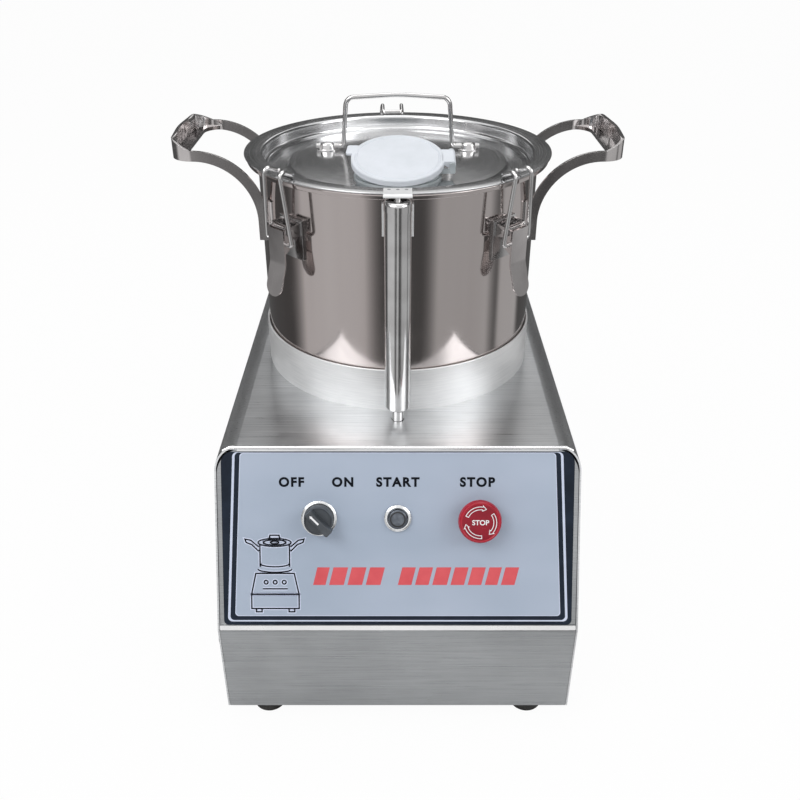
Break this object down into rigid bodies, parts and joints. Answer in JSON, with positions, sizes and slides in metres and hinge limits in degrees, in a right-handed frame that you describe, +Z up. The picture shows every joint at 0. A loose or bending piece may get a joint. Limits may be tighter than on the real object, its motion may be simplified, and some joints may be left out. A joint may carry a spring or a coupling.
{
  "type": "bowl food chopper",
  "caption": "Tabletop bowl chopper: folded steel base with a sloped control panel, lidded steel bowl with side handles and wire latches.",
  "frame": {"origin": "middle of the base on the worktop, under the middle of its depth", "axes": "+Z up, +X to the right when facing the control panel, +Y to the rear"},
  "size_m": [0.4068, 0.44, 0.5166],
  "materials": {
    "housing_steel": "satin",
    "pot_steel": "polished",
    "collar_steel": "satin",
    "lid_steel": "satin",
    "blade_steel": "polished",
    "wire_steel": "polished",
    "panel_print": "satin",
    "black_plastic": "matte",
    "knob_plastic": "satin",
    "red_plastic": "satin",
    "white_plastic": "satin",
    "clear_plastic": "satin",
    "bezel_metal": "satin",
    "cast_aluminium": "matte",
    "electrical_steel": "matte",
    "copper": "satin",
    "rubber": "matte",
    "screw_zinc": "satin"
  },
  "bodies": {
    "base": {"housing_shell": "housing_steel", "front_panel": "housing_steel", "control_panel": "housing_steel", "panel_overlay": "panel_print", "rear_panel": "housing_steel", "bottom_plate": "housing_steel", "rubber_feet": "rubber", "foot_screws": "screw_zinc", "cable_gland": "black_plastic", "seat_collar": "collar_steel", "selector_bezel": "bezel_metal", "start_bezel": "bezel_metal", "stop_bezel": "bezel_metal", "switch_blocks": "black_plastic", "start_capacitor": "white_plastic", "contactor": "black_plastic", "interlock_switch": "black_plastic", "motor_frame": "cast_aluminium", "motor_flange": "cast_aluminium", "shaft_bearings": "wire_steel", "stator_core": "electrical_steel", "stator_windings": "copper", "shaft_seal": "rubber"},
    "rotor": {"motor_shaft": "wire_steel", "rotor_core": "electrical_steel", "cooling_fan": "black_plastic"},
    "bowl": {"bowl": "pot_steel", "right_handle": "wire_steel", "left_handle": "wire_steel", "interlock_tube": "wire_steel", "tube_bracket": "collar_steel", "plunger_spring": "wire_steel", "latch_mounts": "wire_steel"},
    "blades": {"blade_hub": "white_plastic", "lower_blades": "blade_steel", "blade_spacers": "white_plastic", "upper_blades": "blade_steel", "blade_nut": "knob_plastic"},
    "plunger": {"interlock_plunger": "wire_steel"},
    "lid": {"lid": "lid_steel", "lid_gasket": "rubber", "lid_tab": "lid_steel", "feed_port": "clear_plastic", "cap_hinge": "clear_plastic", "bail_clips": "lid_steel"},
    "bail": {"lid_bail": "wire_steel"},
    "cap": {"feed_cap": "white_plastic"},
    "selector": {"selector_knob": "knob_plastic"},
    "start": {"start_button": "bezel_metal"},
    "stop_slide": {"stop_stem": "black_plastic"},
    "stop_head": {"stop_button": "red_plastic"},
    "lever_front_left": {"latch_lever_front_left": "wire_steel"},
    "hook_front_left": {"latch_hook_front_left": "wire_steel"},
    "lever_front_right": {"latch_lever_front_right": "wire_steel"},
    "hook_front_right": {"latch_hook_front_right": "wire_steel"},
    "lever_rear": {"latch_lever_rear": "wire_steel"},
    "hook_rear": {"latch_hook_rear": "wire_steel"}
  },
  "joints": [
    {"name": "rotor_spin", "type": "hinge", "parent": "base", "child": "rotor", "pos_m": [0, 0.042, 0.2], "axis": [0, 0, 1], "continuous": true},
    {"name": "bowl_lift", "type": "slide", "parent": "base", "child": "bowl", "axis": [0, 0, 1], "range_m": [0, 0.12]},
    {"name": "blade_spin", "type": "hinge", "parent": "bowl", "child": "blades", "pos_m": [0, 0.042, 0.3], "axis": [0, 0, 1], "continuous": true},
    {"name": "lid_lift", "type": "slide", "parent": "bowl", "child": "lid", "axis": [0, 0, 1], "range_m": [0, 0.016]},
    {"name": "plunger_rise", "type": "slide", "parent": "bowl", "child": "plunger", "axis": [0, 0, 1], "range_m": [0, 0.004]},
    {"name": "bail_fold", "type": "hinge", "parent": "lid", "child": "bail", "pos_m": [0, 0.074, 0.4667], "axis": [-1, 0, 0], "range_deg": [0, 75]},
    {"name": "cap_flip", "type": "hinge", "parent": "lid", "child": "cap", "pos_m": [0.0477, -0.01204, 0.4775], "axis": [0, 0.9728, 0.2317], "range_deg": [0, 110]},
    {"name": "lever_front_left_swing", "type": "hinge", "parent": "bowl", "child": "lever_front_left", "pos_m": [-0.0997, -0.0577, 0.4294], "axis": [-0.7071, 0.7071, 0], "range_deg": [0, 90]},
    {"name": "hook_front_left_swing", "type": "hinge", "parent": "lever_front_left", "child": "hook_front_left", "pos_m": [-0.10253, -0.06053, 0.4184], "axis": [0.7071, -0.7071, 0], "range_deg": [0, 150]},
    {"name": "lever_front_right_swing", "type": "hinge", "parent": "bowl", "child": "lever_front_right", "pos_m": [0.0997, -0.0577, 0.4294], "axis": [-0.7071, -0.7071, 0], "range_deg": [0, 90]},
    {"name": "hook_front_right_swing", "type": "hinge", "parent": "lever_front_right", "child": "hook_front_right", "pos_m": [0.10253, -0.06053, 0.4184], "axis": [0.7071, 0.7071, 0], "range_deg": [0, 150]},
    {"name": "lever_rear_swing", "type": "hinge", "parent": "bowl", "child": "lever_rear", "pos_m": [-0.00615, 0.18287, 0.4294], "axis": [0.999, 0.0436, 0], "range_deg": [0, 90]},
    {"name": "hook_rear_swing", "type": "hinge", "parent": "lever_rear", "child": "hook_rear", "pos_m": [-0.00632, 0.18686, 0.4184], "axis": [-0.999, -0.0436, 0], "range_deg": [0, 150]},
    {"name": "selector_turn", "type": "hinge", "parent": "base", "child": "selector", "pos_m": [-0.069, -0.17761, 0.20777], "axis": [0, 0.9095, -0.4156], "range_deg": [0, 90]},
    {"name": "start_press", "type": "slide", "parent": "base", "child": "start", "axis": [0, 0.9095, -0.4156], "range_m": [0, 0.0025], "stiffness_N_per_m": 800, "springref_m": -0.002},
    {"name": "stop_press", "type": "slide", "parent": "base", "child": "stop_slide", "axis": [0, 0.9095, -0.4156], "range_m": [0, 0.004]},
    {"name": "stop_twist", "type": "hinge", "parent": "stop_slide", "child": "stop_head", "pos_m": [0.071, -0.17761, 0.20777], "axis": [0, 0.9095, -0.4156], "range_deg": [0, 30], "stiffness_Nm_per_rad": 0.05}
  ],
  "couplings": [
    {"joint": "blade_spin", "follows": "rotor_spin", "ratio": 1},
    {"joint": "plunger_rise", "follows": "lid_lift", "ratio": 0.2499},
    {"joint": "lever_front_left_swing", "follows": "lid_lift", "rad_per_m": 98.17},
    {"joint": "hook_front_left_swing", "follows": "lid_lift", "rad_per_m": 163.62},
    {"joint": "lever_front_right_swing", "follows": "lid_lift", "rad_per_m": 98.17},
    {"joint": "hook_front_right_swing", "follows": "lid_lift", "rad_per_m": 163.62},
    {"joint": "lever_rear_swing", "follows": "lid_lift", "rad_per_m": 98.17},
    {"joint": "hook_rear_swing", "follows": "lid_lift", "rad_per_m": 163.62}
  ]
}
